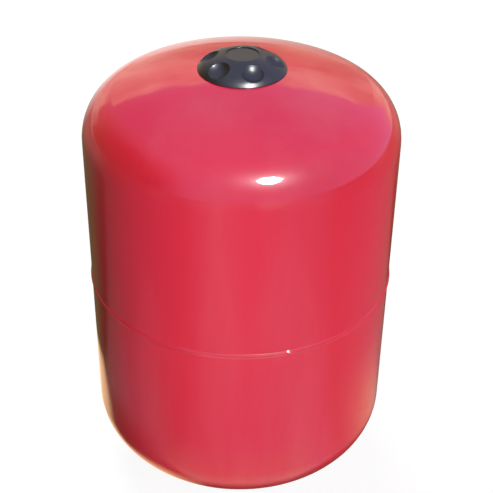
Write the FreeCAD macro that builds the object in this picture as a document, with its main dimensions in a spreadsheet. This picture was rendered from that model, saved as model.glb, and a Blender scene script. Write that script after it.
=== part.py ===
import FreeCAD, Part
import os
import re

import Sketcher

# Pressure tank, 24 litres: two deep-drawn steel half shells welded at mid height, a rubber bladder
# clamped in the lower mouth by a bolted counter flange with a male connection, and on top an air
# valve in a turned boss under a domed screw cover with six finger scoops.
# The part stands on the end of its connection: that is height 0, and Z is the tank's axis.

# Driving sizes in millimetres: name, value, what it is
DRIVING_SIZES = [
    # half shells and their joint
    ("shell_diameter", 285.0, "outside diameter of both half shells"),
    ("shell_wall", 1.2, "sheet thickness"),
    ("shell_straight", 143.3, "seam to the start of the knuckle"),
    ("knuckle_radius", 45.1, "outside radius between side and crown"),
    ("crown_radius", 297.0, "outside radius of the dished end"),
    ("lap_length", 10.0, "how far the lower shell reaches up inside the upper one"),
    ("lap_gap", 0.15, "radial play in the lap"),
    ("root_gap", 0.6, "height left open at the seam for the weld"),
    ("bead_width", 5.2, "width of the girth weld's bead"),
    ("bead_rise", 1.2, "how far the bead stands proud"),
    # mouth, clamped joint and connection
    ("mouth_radius", 50.0, "opening in the lower shell"),
    ("seat_ring_radius", 76.0, "outside radius of the tapped ring"),
    ("seat_flat_margin", 4.0, "flat of the shell, out from the tapped ring's edge"),
    ("seat_ring_thickness", 8.0, "thickness of the tapped ring"),
    ("seat_weld_leg", 2.5, "fillet weld round the tapped ring"),
    ("flange_inset", 1.0, "edge of the counter flange, in from the tapped ring's edge"),
    ("flange_thickness", 3.0, "sheet thickness of the counter flange"),
    ("flange_edge_round", 0.8, "rounding of the counter flange's lower edge"),
    ("dish_radius", 32.0, "flat in the middle of the counter flange"),
    ("dish_depth", 5.0, "how far the middle is pressed out"),
    ("bolt_margin", 11.0, "axis of a bolt, in from the tapped ring's edge"),
    ("bolt_count", 6, "bolts in the counter flange"),
    ("bolt_diameter", 8.0, "thread diameter of the bolts"),
    ("bolt_head_width", 13.0, "across the flats of a bolt head"),
    ("bolt_head_height", 5.3, "height of a bolt head"),
    ("bolt_bite", 7.0, "length of thread in the tapped ring"),
    ("bolt_hole_gap", 0.5, "radial play of a bolt in the counter flange"),
    ("thread_gap", 0.05, "radial play left at a screwed joint"),
    ("washer_radius", 8.0, "outside radius of a washer"),
    ("washer_thickness", 1.6, "thickness of a washer"),
    ("washer_gap", 0.2, "radial play of a washer on its bolt"),
    ("nipple_diameter", 33.25, "outside diameter of the connection's thread"),
    ("nipple_bore", 27.0, "water way through the connection"),
    ("nipple_reach", 20.0, "length of the connection below the counter flange"),
    ("nipple_chamfer", 1.5, "lead-in at the end of the thread"),
    ("nipple_neck_diameter", 32.0, "outside diameter above the thread"),
    ("nipple_gap", 0.1, "radial play of the connection in its hole"),
    ("nipple_weld_leg", 3.0, "fillet weld under the counter flange"),
    # bladder
    ("bladder_wall", 2.0, "rubber thickness"),
    ("bladder_radius", 112.0, "outside radius of the bag"),
    ("bladder_knuckle", 70.0, "outside radius between side and top of the bag"),
    ("bladder_crown", 150.0, "outside radius of the bag's top"),
    ("bladder_shoulder", 40.0, "height above the seam where the bag's side ends"),
    ("belly_bend", 50.0, "outside radius between the bag's bottom and side"),
    ("neck_bend", 12.0, "outside radius between neck and bottom"),
    ("neck_gap", 2.0, "radial play of the neck in the mouth"),
    ("neck_clearance", 0.8, "neck stays straight this far above the sheet of the mouth"),
    ("lip_margin", 2.5, "edge of the clamped lip, in from the bolts"),
    ("lip_thickness", 3.0, "thickness of the clamped lip"),
    ("lip_gap", 0.3, "radial play of the lip in its pocket"),
    # cover
    ("cover_radius", 39.2, "outside radius of the cover"),
    ("cover_rise", 15.0, "height of the dome above its rim land, disc left out"),
    ("cover_knuckle", 17.7, "outside radius between dome and rim"),
    ("rim_slope", 29.0, "lean of the outside at the rim, from upright"),
    ("cover_land", 0.4, "upright land at the rim"),
    ("cover_wall", 2.0, "moulded wall"),
    ("cover_foot", 1.0, "height of the wall's thicker foot above the land"),
    ("cover_gap", 0.2, "rim above the shell"),
    ("cover_edge_round", 0.5, "rounding of the scoops' and the disc's edges"),
    ("disc_radius", 14.5, "sunk disc in the middle of the cover"),
    ("disc_depth", 2.5, "disc below the height where the dome would peak"),
    ("socket_gap", 0.25, "radial play of the cover's socket on the boss"),
    ("socket_wall", 2.2, "wall of the threaded socket"),
    ("socket_lift", 0.8, "socket's mouth above the top of the shell"),
    ("scoop_radius", 14.0, "radius of the ball shape of a finger scoop"),
    ("scoop_circle_radius", 33.8, "distance of a scoop's ball centre from the axis"),
    ("scoop_height", 17.1, "height of a scoop's ball centre above the rim"),
    ("scoop_wall", 1.7, "moulded wall round a scoop"),
    ("scoop_angle", -72.0, "direction of the first scoop, counted from X towards Y"),
    ("scoop_count", 6, "finger scoops"),
    ("rib_thickness", 1.4, "webs between socket and rim, one between each two scoops"),
    ("rib_lift", 1.6, "lower edge of the webs above the shell's top"),
    # air valve and its boss
    ("boss_radius", 18.0, "outside radius of the boss, over its thread"),
    ("boss_height", 26.0, "length of the boss"),
    ("boss_recess_radius", 12.5, "recess round the valve"),
    ("boss_floor", 4.0, "thickness under the recess"),
    ("boss_chamfer", 0.8, "lead-in of the boss's thread"),
    ("boss_hole_gap", 0.1, "radial play of the boss in the shell"),
    ("boss_weld_leg", 2.5, "fillet weld inside the shell"),
    ("seal_thickness", 1.5, "rubber ring between boss and cover"),
    ("seal_inset", 0.5, "seal ring short of the boss's edges"),
    ("stem_root_radius", 4.85, "screwed root of the valve stem"),
    ("stem_root_reach", 3.0, "root below the boss's floor"),
    ("stem_hex_width", 12.0, "across the flats of the stem's hexagon"),
    ("stem_hex_height", 5.0, "height of the stem's hexagon"),
    ("stem_radius", 3.85, "outside radius of the stem, over its thread"),
    ("stem_length", 12.0, "stem above its hexagon"),
    ("stem_chamfer", 0.5, "lead-in of the stem"),
    ("stem_bore_radius", 2.6, "bore for the core's head"),
    ("stem_seat_radius", 2.15, "bore below the core's seat"),
    ("stem_outlet_radius", 1.5, "air way through the root"),
    ("stem_gasket_radius", 6.5, "outside radius of the gasket under the hexagon"),
    ("stem_gasket_thickness", 1.5, "thickness of that gasket"),
    ("dust_cap_radius", 5.2, "outside radius of the dust cap"),
    ("dust_cap_height", 10.0, "height of the dust cap"),
    ("dust_cap_top", 1.6, "end wall of the dust cap"),
    ("dust_cap_grip_radius", 0.5, "radius of a grip flute"),
    ("dust_cap_grip_count", 12, "grip flutes on the dust cap"),
    ("dust_seal_thickness", 0.8, "rubber disc in the dust cap"),
    # valve core
    ("core_head_radius", 2.5, "screwed head of the core"),
    ("core_head_length", 4.4, "length of that head"),
    ("core_sink", 0.6, "head below the stem's end"),
    ("core_sleeve_radius", 1.7, "sleeve below the head"),
    ("core_sleeve_length", 6.0, "length of the sleeve"),
    ("core_chamber_radius", 1.3, "spring chamber in the sleeve"),
    ("core_end_wall", 1.0, "end wall of the chamber"),
    ("core_gap", 0.1, "radial play inside the core"),
    ("core_gasket_length", 2.6, "seat gasket on the sleeve"),
    ("pin_radius", 0.55, "core pin"),
    ("pin_sink", 0.4, "pin's end below the stem's end"),
    ("pin_collar_radius", 1.15, "collar that the spring pushes on"),
    ("pin_collar_length", 0.8, "length of that collar"),
    ("pin_foot_radius", 1.5, "plate under the core's seal"),
    ("pin_foot_length", 0.6, "thickness of that plate"),
    ("core_seal_thickness", 1.2, "rubber washer that closes the core"),
    ("core_bore_margin", 1.7, "bore below the pin's foot"),
    ("spring_wire", 0.26, "wire of the core's spring"),
    ("spring_turns", 5, "turns of the core's spring"),
]

# Heights and radii that follow from the driving sizes, each worked out from those before it
WORKED_SIZES = [
    ("shell_radius", "shell_diameter / 2"),
    ("shell_inner_radius", "shell_radius - shell_wall"),
    # the crown's centre lies this far from the knuckle's, along the axis
    ("crown_offset", "sqrt((crown_radius - knuckle_radius)^2 - (shell_radius - knuckle_radius)^2)"),
    ("crown_share", "crown_radius / (crown_radius - knuckle_radius)"),
    ("crown_inner_share", "(crown_radius - shell_wall) / (crown_radius - knuckle_radius)"),
    # heights of the clamped joint, upwards from the connection's end
    ("flange_low", "nipple_reach + dish_depth"),
    ("flange_radius", "seat_ring_radius - flange_inset"),
    ("seat_flat_radius", "seat_ring_radius + seat_flat_margin"),
    ("seat_plane", "flange_low + flange_thickness"),
    ("shell_flat", "seat_plane + seat_ring_thickness"),
    ("seam", "shell_flat + shell_straight - crown_offset + sqrt(crown_radius^2 - seat_flat_radius^2)"),
    ("lower_tangent", "seam - shell_straight"),
    ("lower_centre", "lower_tangent + crown_offset"),
    ("upper_tangent", "seam + shell_straight"),
    ("upper_centre", "upper_tangent - crown_offset"),
    ("shell_top", "upper_centre + crown_radius"),
    ("tongue_radius", "shell_inner_radius - lap_gap"),
    ("tongue_knee", "seam - shell_wall - lap_gap"),
    ("tongue_shift", "shell_wall * tan(22.5)"),
    ("bolt_circle_radius", "seat_ring_radius - bolt_margin"),
    ("lip_radius", "bolt_circle_radius - bolt_diameter / 2 - lip_margin"),
    ("nipple_radius", "nipple_diameter / 2"),
    ("nipple_neck_radius", "nipple_neck_diameter / 2"),
    ("neck_radius", "mouth_radius - neck_gap"),
    # cover
    ("rim_sphere", "crown_radius + cover_gap"),
    ("cover_base", "upper_centre + sqrt(rim_sphere^2 - cover_radius^2)"),
    ("dome_foot", "cover_base + cover_land"),
    ("knuckle_circle", "cover_radius - cover_knuckle * cos(rim_slope)"),
    ("knuckle_drop", "cover_knuckle * sin(rim_slope)"),
    ("dome_radius", "(knuckle_circle^2 + (cover_rise + knuckle_drop)^2 - cover_knuckle^2)"
                    " / (2 * (cover_rise + knuckle_drop - cover_knuckle))"),
    ("dome_centre", "dome_foot + cover_rise - dome_radius"),
    ("dome_share", "dome_radius / (dome_radius - cover_knuckle)"),
    ("dome_middle_share", "(dome_radius - cover_wall / 2) / (dome_radius - cover_knuckle)"),
    ("dome_inner_share", "(dome_radius - cover_wall) / (dome_radius - cover_knuckle)"),
    ("disc_plane", "dome_foot + cover_rise - disc_depth"),
    ("cover_ceiling", "disc_plane - cover_wall"),
    ("socket_radius", "boss_radius + socket_gap"),
    ("socket_outer_radius", "socket_radius + socket_wall"),
    # boss and valve
    ("boss_top", "cover_ceiling - seal_thickness"),
    ("recess_floor", "boss_top - boss_height + boss_floor"),
    ("hex_low", "recess_floor + stem_gasket_thickness"),
    ("hex_high", "hex_low + stem_hex_height"),
    ("stem_top", "hex_high + stem_length"),
    ("dust_cap_end", "stem_top + dust_seal_thickness + dust_cap_top"),
    # valve core, downwards from the stem's end
    ("core_top", "stem_top - core_sink"),
    ("head_low", "core_top - core_head_length"),
    ("sleeve_low", "head_low - core_sleeve_length"),
    ("chamber_low", "sleeve_low + core_end_wall"),
    ("collar_top", "core_top - core_end_wall - core_head_length / 2"),
    ("collar_low", "collar_top - pin_collar_length"),
    ("core_seal_low", "sleeve_low - core_seal_thickness"),
    ("foot_low", "core_seal_low - pin_foot_length"),
    ("core_bore_low", "foot_low - core_bore_margin"),
    ("gasket_low", "head_low - core_gasket_length"),
]

doc = FreeCAD.newDocument("pressure_tank")
sheet = doc.addObject("Spreadsheet::Sheet", "Sizes")
worked = doc.addObject("App::VarSet", "Worked")
holders = {}
pieces = []


# Sizes and expressions

def full(text):
    """The expression with each size named by the object that holds it."""
    return re.sub(r"[a-z_]+", lambda word: holders.get(word.group(), "") + word.group(), text)


def number(text):
    """The expression's present value."""
    return float(worked.evalExpression(full(text)))


def bind(feature, **sizes):
    """Bind properties of a feature to expressions."""
    for name, text in sizes.items():
        feature.setExpression(name, full(text))


def fill_sizes():
    """Write the driving sizes to the sheet and the worked ones to their set."""
    for row, (name, value, note) in enumerate(DRIVING_SIZES, start=1):
        sheet.set(f"A{row}", name)
        sheet.set(f"B{row}", str(value))
        sheet.set(f"C{row}", note)
        sheet.setAlias(f"B{row}", name)
        holders[name] = "Sizes."
    doc.recompute()
    for name, text in WORKED_SIZES:
        worked.addProperty("App::PropertyFloat", name)
        bind(worked, **{name: text})
        holders[name] = "Worked."
    doc.recompute()


# Sketches and features

def new_body(name, groups=False):
    """A body; one that groups like solids holds more than one of them."""
    body = doc.addObject("PartDesign::Body", name)
    body.AllowCompound = groups
    return body


def datum(body, role):
    """One of the body's own origin planes or axes."""
    return next(item for item in body.Origin.OriginFeatures if item.Role == role)


def arc_between(start, end, radius):
    """The smaller arc between two points; a negative radius turns right on the way."""
    chord = end - start
    reach = (radius ** 2 - (chord.Length / 2) ** 2) ** 0.5
    left = FreeCAD.Vector(-chord.y, chord.x, 0).normalize()
    centre = start + chord * 0.5 + left * (reach if radius > 0 else -reach)
    first, last = (start, end) if radius > 0 else (end, start)
    turn = [FreeCAD.Vector(1, 0, 0).getAngle(point - centre) for point in (first, last)]
    turn = [-angle if point.y < centre.y else angle for angle, point in zip(turn, (first, last))]
    circle = Part.Circle(centre, FreeCAD.Vector(0, 0, 1), abs(radius))
    return Part.ArcOfCircle(circle, turn[0], turn[1])


def outline(body, name, corners, bends=None):
    """A closed outline in the plane of X and Z. A corner is its distance from the axis and its
    height; bends gives the radius of the arc that leaves a corner, negative where it turns right."""
    bends = bends or {}
    sketch = body.newObject("Sketcher::SketchObject", name)
    sketch.AttachmentSupport = (datum(body, "XZ_Plane"), [""])
    sketch.MapMode = "FlatFace"
    points = [FreeCAD.Vector(number(x), number(z), 0) for x, z in corners]
    count = len(points)
    ends = []
    for index in range(count):
        start, end = points[index], points[(index + 1) % count]
        if index in bends:
            radius = number(bends[index])
            sketch.addGeometry(arc_between(start, end, radius), False)
            ends.append((1, 2) if radius > 0 else (2, 1))
        else:
            sketch.addGeometry(Part.LineSegment(start, end), False)
            ends.append((1, 2))
    for index in range(count):
        after = (index + 1) % count
        sketch.addConstraint(
            Sketcher.Constraint("Coincident", index, ends[index][1], after, ends[after][0]))
    for index, (x, z) in enumerate(corners):
        hold(sketch, index, ends[index][0], "DistanceX", x, -2)
        hold(sketch, index, ends[index][0], "DistanceY", z, -1)
    for index, text in bends.items():
        size = sketch.addConstraint(Sketcher.Constraint("Radius", index, abs(number(text))))
        sketch.setExpression(f"Constraints[{size}]", full(f"abs({text})"))
    return sketch


def hold(sketch, index, end, kind, text, axis):
    """Hold one coordinate of an edge's end: on the axis for 0, else at its own distance."""
    if text == "0":
        sketch.addConstraint(Sketcher.Constraint("PointOnObject", index, end, axis))
        return
    size = sketch.addConstraint(Sketcher.Constraint(kind, -1, 1, index, end, number(text)))
    sketch.setExpression(f"Constraints[{size}]", full(text))


def revolve(body, name, corners, bends=None):
    """Turn an outline all the way round the Z axis."""
    feature = body.newObject("PartDesign::Revolution", name)
    feature.Profile = outline(body, name + "_outline", corners, bends)
    feature.ReferenceAxis = (datum(body, "Z_Axis"), [""])
    feature.Angle = 360
    return feature


def primitive(body, kind, name, place, **sizes):
    """A PartDesign primitive on the base plane, moved to place and bound to its sizes."""
    feature = body.newObject("PartDesign::" + kind, name)
    feature.AttachmentSupport = (datum(body, "XY_Plane"), [""])
    feature.MapMode = "FlatFace"
    for axis, text in zip("xyz", place):
        feature.setExpression("AttachmentOffset.Base." + axis, full(text))
    bind(feature, **sizes)
    return feature


def repeat(body, name, features, count):
    """Repeat features round the Z axis."""
    pattern = body.newObject("PartDesign::PolarPattern", name)
    pattern.Originals = features
    pattern.Axis = (datum(body, "Z_Axis"), [""])
    pattern.Angle = 360
    bind(pattern, Occurrences=count)
    body.Tip = pattern
    return pattern


def keep(piece, label):
    """Note a finished sub-part under the name that its file gets."""
    piece.Label = label
    piece.Placement = FreeCAD.Placement()
    pieces.append(piece)


def turned(label, corners, bends=None):
    """A sub-part that is one turned outline."""
    body = new_body(label)
    revolve(body, label + "_turned", corners, bends)
    keep(body, label)
    return body


# Half shells

def upper_shell():
    """Drawn half with the hole for the boss at its top."""
    hole = "(boss_radius + boss_hole_gap)"
    turned("upper_shell", [
        ("shell_radius", "seam + root_gap"),
        ("shell_radius", "upper_tangent"),
        ("(shell_radius - knuckle_radius) * crown_share", "upper_centre + crown_offset * crown_share"),
        (hole, f"upper_centre + sqrt(crown_radius^2 - {hole}^2)"),
        (hole, f"upper_centre + sqrt((crown_radius - shell_wall)^2 - {hole}^2)"),
        ("(shell_radius - knuckle_radius) * crown_inner_share",
         "upper_centre + crown_offset * crown_inner_share"),
        ("shell_inner_radius", "upper_tangent"),
        ("shell_inner_radius", "seam + root_gap"),
    ], {1: "knuckle_radius", 2: "crown_radius", 4: "-(crown_radius - shell_wall)",
        5: "-(knuckle_radius - shell_wall)"})


def lower_shell():
    """The same drawing with a flat round its mouth and a tongue that laps inside the upper half."""
    inner_flat = ("sqrt((crown_radius - shell_wall)^2"
                  " - (sqrt(crown_radius^2 - seat_flat_radius^2) - shell_wall)^2)")
    turned("lower_shell", [
        ("mouth_radius", "shell_flat"),
        ("seat_flat_radius", "shell_flat"),
        ("(shell_radius - knuckle_radius) * crown_share", "lower_centre - crown_offset * crown_share"),
        ("shell_radius", "lower_tangent"),
        ("shell_radius", "tongue_knee"),
        ("tongue_radius", "seam"),
        ("tongue_radius", "seam + lap_length"),
        ("tongue_radius - shell_wall", "seam + lap_length"),
        ("tongue_radius - shell_wall", "seam - tongue_shift"),
        ("shell_inner_radius", "tongue_knee - tongue_shift"),
        ("shell_inner_radius", "lower_tangent"),
        ("(shell_radius - knuckle_radius) * crown_inner_share",
         "lower_centre - crown_offset * crown_inner_share"),
        (inner_flat, "shell_flat + shell_wall"),
        ("mouth_radius", "shell_flat + shell_wall"),
    ], {1: "crown_radius", 2: "knuckle_radius", 10: "-(knuckle_radius - shell_wall)",
        11: "-(crown_radius - shell_wall)"})


def girth_weld():
    """Bead that fills the groove between the two halves and stands proud of both."""
    turned("girth_weld", [
        ("tongue_radius", "seam"),
        ("shell_radius", "tongue_knee"),
        ("shell_radius", "seam - bead_width / 2"),
        ("shell_radius", "seam + bead_width / 2"),
        ("shell_radius", "seam + root_gap"),
        ("tongue_radius", "seam + root_gap"),
    ], {2: "(bead_width^2 / 4 + bead_rise^2) / (2 * bead_rise)"})


# Mouth, clamped joint and connection

def flange_seat_ring():
    """Tapped ring welded under the flat, with a pocket for the bladder's lip."""
    body = new_body("flange_seat_ring")
    pocket = "lip_radius + lip_gap"
    revolve(body, "seat_ring_turned", [
        ("mouth_radius", "seat_plane + lip_thickness"),
        (pocket, "seat_plane + lip_thickness"),
        (pocket, "seat_plane"),
        ("seat_ring_radius", "seat_plane"),
        ("seat_ring_radius", "shell_flat"),
        ("mouth_radius", "shell_flat"),
    ])
    hole = primitive(body, "SubtractiveCylinder", "seat_ring_hole",
                     ("bolt_circle_radius", "0", "seat_plane"),
                     Radius="bolt_diameter / 2 + thread_gap", Height="bolt_bite")
    repeat(body, "seat_ring_holes", [hole], "bolt_count")
    keep(body, "flange_seat_ring")


def seat_ring_weld():
    """Fillet weld between the tapped ring's edge and the flat of the shell."""
    turned("seat_ring_weld", [
        ("seat_ring_radius", "shell_flat - seat_weld_leg"),
        ("seat_ring_radius + seat_weld_leg", "shell_flat"),
        ("seat_ring_radius", "shell_flat"),
    ])


def counter_flange():
    """Pressed disc that clamps the bladder's lip, its middle dished outwards."""
    body = new_body("counter_flange")
    slope = "flange_thickness * tan(22.5)"
    hole_edge = "nipple_neck_radius + nipple_gap"
    revolve(body, "counter_flange_pressed", [
        (hole_edge, "nipple_reach"),
        ("dish_radius", "nipple_reach"),
        ("dish_radius + dish_depth", "flange_low"),
        ("flange_radius - flange_edge_round", "flange_low"),
        ("flange_radius", "flange_low + flange_edge_round"),
        ("flange_radius", "seat_plane"),
        (f"dish_radius + dish_depth - {slope}", "seat_plane"),
        (f"dish_radius - {slope}", "nipple_reach + flange_thickness"),
        (hole_edge, "nipple_reach + flange_thickness"),
    ], {3: "flange_edge_round"})
    hole = primitive(body, "SubtractiveCylinder", "counter_flange_hole",
                     ("bolt_circle_radius", "0", "flange_low"),
                     Radius="bolt_diameter / 2 + bolt_hole_gap", Height="flange_thickness")
    repeat(body, "counter_flange_holes", [hole], "bolt_count")
    keep(body, "counter_flange")


def connection_nipple():
    """Male connection, pushed through the counter flange and welded below it."""
    turned("connection_nipple", [
        ("nipple_bore / 2", "0"),
        ("nipple_radius - nipple_chamfer", "0"),
        ("nipple_radius", "nipple_chamfer"),
        ("nipple_radius", "nipple_reach - nipple_weld_leg"),
        ("nipple_neck_radius", "nipple_reach - nipple_weld_leg"),
        ("nipple_neck_radius", "nipple_reach + flange_thickness"),
        ("nipple_bore / 2", "nipple_reach + flange_thickness"),
    ])


def nipple_weld():
    """Fillet weld between the connection and the counter flange's lower face."""
    turned("nipple_weld", [
        ("nipple_neck_radius", "nipple_reach - nipple_weld_leg"),
        ("nipple_neck_radius + nipple_weld_leg", "nipple_reach"),
        ("nipple_neck_radius", "nipple_reach"),
    ])


def flange_bolts():
    """Hexagon bolts, heads down, screwed up into the tapped ring."""
    body = new_body("flange_bolts", groups=True)
    head_top = "flange_low - washer_thickness"
    head = primitive(body, "AdditivePrism", "bolt_head",
                     ("bolt_circle_radius", "0", f"{head_top} - bolt_head_height"),
                     Circumradius="bolt_head_width / 2 / cos(30)", Height="bolt_head_height")
    head.Polygon = 6
    shank = primitive(body, "AdditiveCylinder", "bolt_shank",
                      ("bolt_circle_radius", "0", head_top), Radius="bolt_diameter / 2",
                      Height="washer_thickness + flange_thickness + bolt_bite")
    repeat(body, "bolts_round", [head, shank], "bolt_count")
    keep(body, "flange_bolts")


def flange_washers():
    """Plain washers between bolt heads and counter flange."""
    body = new_body("flange_washers", groups=True)
    place = ("bolt_circle_radius", "0", "flange_low - washer_thickness")
    disc = primitive(body, "AdditiveCylinder", "washer_disc", place,
                     Radius="washer_radius", Height="washer_thickness")
    hole = primitive(body, "SubtractiveCylinder", "washer_hole", place,
                     Radius="bolt_diameter / 2 + washer_gap", Height="washer_thickness")
    repeat(body, "washers_round", [disc, hole], "bolt_count")
    keep(body, "flange_washers")


# Bladder

def bladder():
    """Rubber bag as moulded, with a neck through the mouth and a clamped lip."""
    neck_top = "(shell_flat + shell_wall + neck_clearance)"
    belly = "(bladder_radius - belly_bend)"
    shoulder = "(seam + bladder_shoulder)"
    offset = ("sqrt((bladder_crown - bladder_knuckle)^2 - (bladder_radius - bladder_knuckle)^2)")
    share = "bladder_crown / (bladder_crown - bladder_knuckle)"
    inner_share = "(bladder_crown - bladder_wall) / (bladder_crown - bladder_knuckle)"
    turned("bladder", [
        ("neck_radius - bladder_wall", "seat_plane"),
        ("lip_radius", "seat_plane"),
        ("lip_radius", "seat_plane + lip_thickness"),
        ("neck_radius", "seat_plane + lip_thickness"),
        ("neck_radius", neck_top),
        ("neck_radius + neck_bend", f"{neck_top} + neck_bend"),
        (belly, f"{neck_top} + neck_bend"),
        ("bladder_radius", f"{neck_top} + neck_bend + belly_bend"),
        ("bladder_radius", shoulder),
        (f"(bladder_radius - bladder_knuckle) * {share}", f"{shoulder} - {offset} + {offset} * {share}"),
        ("0", f"{shoulder} - {offset} + bladder_crown"),
        ("0", f"{shoulder} - {offset} + bladder_crown - bladder_wall"),
        (f"(bladder_radius - bladder_knuckle) * {inner_share}",
         f"{shoulder} - {offset} + {offset} * {inner_share}"),
        ("bladder_radius - bladder_wall", shoulder),
        ("bladder_radius - bladder_wall", f"{neck_top} + neck_bend + belly_bend"),
        (belly, f"{neck_top} + neck_bend + bladder_wall"),
        ("neck_radius + neck_bend", f"{neck_top} + neck_bend + bladder_wall"),
        ("neck_radius - bladder_wall", neck_top),
    ], {4: "-neck_bend", 6: "belly_bend", 8: "bladder_knuckle", 9: "bladder_crown",
        11: "-(bladder_crown - bladder_wall)", 12: "-(bladder_knuckle - bladder_wall)",
        14: "-(belly_bend - bladder_wall)", 16: "neck_bend + bladder_wall"})


# Boss and air valve

def valve_boss():
    """Turned steel cup through the shell's top: thread outside, recess for the valve inside."""
    turned("valve_boss", [
        ("stem_root_radius + thread_gap", "recess_floor - boss_floor"),
        ("boss_radius", "recess_floor - boss_floor"),
        ("boss_radius", "boss_top - boss_chamfer"),
        ("boss_radius - boss_chamfer", "boss_top"),
        ("boss_recess_radius", "boss_top"),
        ("boss_recess_radius", "recess_floor"),
        ("stem_root_radius + thread_gap", "recess_floor"),
    ])


def valve_boss_weld():
    """Fillet weld between the boss and the inside of the shell."""
    foot = "(boss_radius + boss_weld_leg)"
    inside = "(crown_radius - shell_wall)"
    turned("valve_boss_weld", [
        ("boss_radius", f"upper_centre + sqrt({inside}^2 - boss_radius^2) - boss_weld_leg"),
        (foot, f"upper_centre + sqrt({inside}^2 - {foot}^2)"),
        ("boss_radius", f"upper_centre + sqrt({inside}^2 - boss_radius^2)"),
    ], {1: inside})


def valve_stem():
    """Brass stem with a screwed root, a hexagon and the bore that holds the core."""
    body = new_body("valve_stem")
    seat = "stem_bore_radius - stem_seat_radius"
    revolve(body, "valve_stem_turned", [
        ("stem_outlet_radius", "recess_floor - boss_floor - stem_root_reach"),
        ("stem_root_radius", "recess_floor - boss_floor - stem_root_reach"),
        ("stem_root_radius", "hex_low"),
        ("stem_hex_width / 2", "hex_low"),
        ("stem_hex_width / 2", "hex_high"),
        ("stem_radius", "hex_high"),
        ("stem_radius", "stem_top - stem_chamfer"),
        ("stem_radius - stem_chamfer", "stem_top"),
        ("stem_bore_radius", "stem_top"),
        ("stem_bore_radius", "gasket_low"),
        ("stem_seat_radius", f"gasket_low - ({seat})"),
        ("stem_seat_radius", "core_bore_low"),
        ("stem_outlet_radius", "core_bore_low"),
    ])
    flats = primitive(body, "AdditivePrism", "valve_stem_hexagon", ("0", "0", "hex_low"),
                      Circumradius="stem_hex_width / 2 / cos(30)", Height="stem_hex_height")
    flats.Polygon = 6
    way = primitive(body, "SubtractiveCylinder", "valve_stem_way", ("0", "0", "hex_low"),
                    Radius="stem_seat_radius", Height="stem_hex_height")
    body.Tip = way
    keep(body, "valve_stem")


def valve_stem_gasket():
    """Flat gasket under the stem's hexagon."""
    turned("valve_stem_gasket", [
        ("stem_root_radius + thread_gap", "recess_floor"),
        ("stem_gasket_radius", "recess_floor"),
        ("stem_gasket_radius", "hex_low"),
        ("stem_root_radius + thread_gap", "hex_low"),
    ])


def dust_cap():
    """Screw cap on the stem, with grip flutes."""
    body = new_body("dust_cap")
    revolve(body, "dust_cap_turned", [
        ("stem_radius + thread_gap", "dust_cap_end - dust_cap_height"),
        ("dust_cap_radius", "dust_cap_end - dust_cap_height"),
        ("dust_cap_radius", "dust_cap_end - dust_cap_grip_radius"),
        ("dust_cap_radius - dust_cap_grip_radius", "dust_cap_end"),
        ("0", "dust_cap_end"),
        ("0", "dust_cap_end - dust_cap_top"),
        ("stem_radius + thread_gap", "dust_cap_end - dust_cap_top"),
    ], {2: "dust_cap_grip_radius"})
    flute = primitive(body, "SubtractiveCylinder", "dust_cap_flute",
                      ("dust_cap_radius + dust_cap_grip_radius / 2", "0",
                       "dust_cap_end - dust_cap_height"),
                      Radius="dust_cap_grip_radius", Height="dust_cap_height")
    repeat(body, "dust_cap_flutes", [flute], "dust_cap_grip_count")
    keep(body, "dust_cap")


def dust_cap_seal():
    """Rubber disc between the dust cap's end wall and the stem."""
    turned("dust_cap_seal", [
        ("0", "stem_top"),
        ("stem_radius", "stem_top"),
        ("stem_radius", "stem_top + dust_seal_thickness"),
        ("0", "stem_top + dust_seal_thickness"),
    ])


# Valve core

def valve_core_barrel():
    """Screwed head and sleeve; the sleeve's chamber holds the spring."""
    way = "pin_radius + core_gap"
    turned("valve_core_barrel", [
        (way, "sleeve_low"),
        ("core_sleeve_radius", "sleeve_low"),
        ("core_sleeve_radius", "head_low"),
        ("core_head_radius", "head_low"),
        ("core_head_radius", "core_top"),
        (way, "core_top"),
        (way, "collar_top + core_gap"),
        ("core_chamber_radius", "collar_top + core_gap"),
        ("core_chamber_radius", "chamber_low"),
        (way, "chamber_low"),
    ])


def valve_core_gasket():
    """Seat gasket round the sleeve, under the head."""
    turned("valve_core_gasket", [
        ("core_sleeve_radius", "gasket_low"),
        ("stem_bore_radius - core_gap", "gasket_low"),
        ("stem_bore_radius - core_gap", "head_low"),
        ("core_sleeve_radius", "head_low"),
    ])


def valve_core_pin():
    """Pin that opens the core when it is pushed down, with its collar and foot."""
    turned("valve_core_pin", [
        ("0", "foot_low"),
        ("pin_foot_radius", "foot_low"),
        ("pin_foot_radius", "core_seal_low"),
        ("pin_radius", "core_seal_low"),
        ("pin_radius", "collar_low"),
        ("pin_collar_radius", "collar_low"),
        ("pin_collar_radius", "collar_top"),
        ("pin_radius", "collar_top"),
        ("pin_radius", "stem_top - pin_sink"),
        ("0", "stem_top - pin_sink"),
    ])


def valve_core_seal():
    """Rubber washer pulled up against the sleeve's end by the spring."""
    turned("valve_core_seal", [
        ("pin_radius", "core_seal_low"),
        ("core_sleeve_radius", "core_seal_low"),
        ("core_sleeve_radius", "sleeve_low"),
        ("pin_radius", "sleeve_low"),
    ])


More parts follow.
